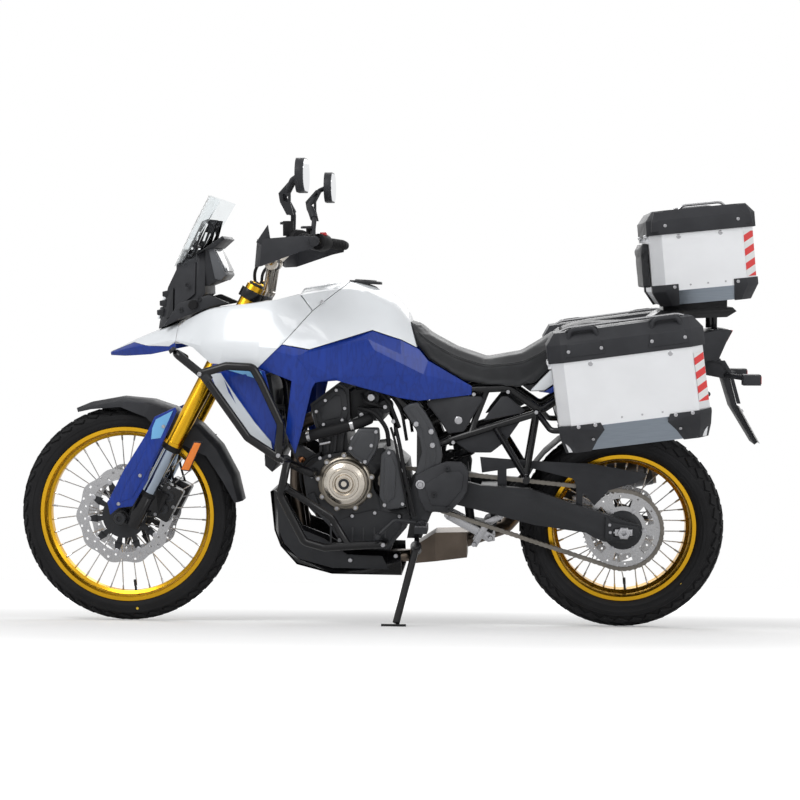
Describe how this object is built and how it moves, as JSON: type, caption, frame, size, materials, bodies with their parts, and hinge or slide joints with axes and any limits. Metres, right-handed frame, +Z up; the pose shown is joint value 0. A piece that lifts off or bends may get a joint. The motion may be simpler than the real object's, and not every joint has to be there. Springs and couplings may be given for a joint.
{
  "type": "adventure motorcycle",
  "caption": "Adventure motorcycle on wire-spoked wheels, leaning on its side stand, with a tall screen, crash bars, two aluminium side cases and a top case with hinged lids.",
  "frame": {"origin": "on the ground under the middle of the whole outline, the machine leaning on its side stand", "axes": "+X towards the rear wheel, +Y towards the machine's right side, +Z up from the ground"},
  "size_m": [2.3328, 1.0475, 1.5],
  "materials": {
    "gold_rim": "anodised gold, satin",
    "gold_fork": "anodised gold, polished",
    "tyre": "block tread rubber",
    "black_metal": "gloss black coat",
    "frame_paint": "dark coat",
    "steel": "brushed",
    "dark_engine": "matt dark coat",
    "bronze_cover": "satin warm grey",
    "white_gloss": "pearl white",
    "blue_gloss": "deep blue",
    "seat_cover": "grained seat cover",
    "clear_screen": "clear sheet",
    "case_metal": "brushed",
    "lid_plastic": "grained",
    "lamp_red": "red lens",
    "plate_white": "bare plate",
    "grip_rubber": "ribbed",
    "black_plastic": "grained"
  },
  "bodies": {
    "chassis": {"backrest_pad": "seat_cover", "beak": "white_gloss", "chain": "steel", "crash_bars": "black_metal", "dash": "black_plastic", "engine": "dark_engine", "engine_covers": "bronze_cover", "exhaust": "steel", "footpegs": "black_metal", "fuel_tank": "white_gloss", "headlamp_cowl": "black_plastic", "hugger": "black_plastic", "main_frame": "black_metal", "nose_panels": "white_gloss", "number_plate": "plate_white", "pannier_rack": "black_metal", "pillion_seat": "seat_cover", "plate_holder": "black_plastic", "radiator": "dark_engine", "rear_axle": "steel", "rear_rack": "black_metal", "rider_seat": "seat_cover", "shock": "black_metal", "side_case_left": "case_metal", "side_case_right": "case_metal", "side_panels": "blue_gloss", "skid_plate": "case_metal", "stand_bracket": "black_metal", "subframe": "frame_paint", "swingarm": "case_metal", "tail_cowl": "black_plastic", "tail_lamp": "lamp_red", "top_case": "case_metal", "windscreen": "clear_screen", "wing_panels": "blue_gloss"},
    "steering": {"fork_tubes": "gold_fork", "fork_lowers": "black_metal", "front_axle": "steel", "triple_clamps": "black_metal", "handlebar": "black_metal", "hand_controls": "grip_rubber", "hand_guards": "black_plastic", "mirrors": "black_plastic", "front_fender": "black_plastic", "fork_guards": "blue_gloss", "front_calipers": "black_metal"},
    "front_wheel": {"front_rim": "gold_rim", "front_tyre": "tyre", "front_discs": "steel"},
    "rear_wheel": {"rear_rim": "gold_rim", "rear_tyre": "tyre", "rear_sprocket": "steel", "rear_disc": "steel"},
    "side_stand": {"side_stand": "black_metal"},
    "left_case_lid": {"side_lid_left": "lid_plastic"},
    "right_case_lid": {"side_lid_right": "lid_plastic"},
    "top_case_lid": {"top_lid": "lid_plastic"}
  },
  "joints": [
    {"name": "steering_turn", "type": "hinge", "parent": "chassis", "child": "steering", "pos_m": [-0.42119, -0.00392, 0.94995], "axis": [0.4692, -0.1533, 0.8697], "range_deg": [-40, 40]},
    {"name": "front_wheel_spin", "type": "hinge", "parent": "steering", "child": "front_wheel", "pos_m": [-0.81947, 0.10306, 0.34315], "axis": [0, -0.9848, -0.1736], "continuous": true},
    {"name": "rear_wheel_spin", "type": "hinge", "parent": "chassis", "child": "rear_wheel", "pos_m": [0.75054, 0.10769, 0.31731], "axis": [0, -0.9848, -0.1736], "continuous": true},
    {"name": "side_stand_fold", "type": "hinge", "parent": "chassis", "child": "side_stand", "pos_m": [0.11556, -0.07751, 0.23877], "axis": [-0.0001, -0.9559, 0.2937], "range_deg": [0, 90]},
    {"name": "left_lid_open", "type": "hinge", "parent": "chassis", "child": "left_case_lid", "pos_m": [0.51323, -0.33725, 0.779], "axis": [0, -0.9848, -0.1736], "range_deg": [0, 85]},
    {"name": "right_lid_open", "type": "hinge", "parent": "chassis", "child": "right_case_lid", "pos_m": [0.5132, 0.36787, 0.90333], "axis": [0, -0.9848, -0.1736], "range_deg": [0, 85]},
    {"name": "top_lid_open", "type": "hinge", "parent": "chassis", "child": "top_case_lid", "pos_m": [0.8097, -0.04922, 1.20725], "axis": [0, -0.9848, -0.1736], "range_deg": [0, 85]}
  ]
}
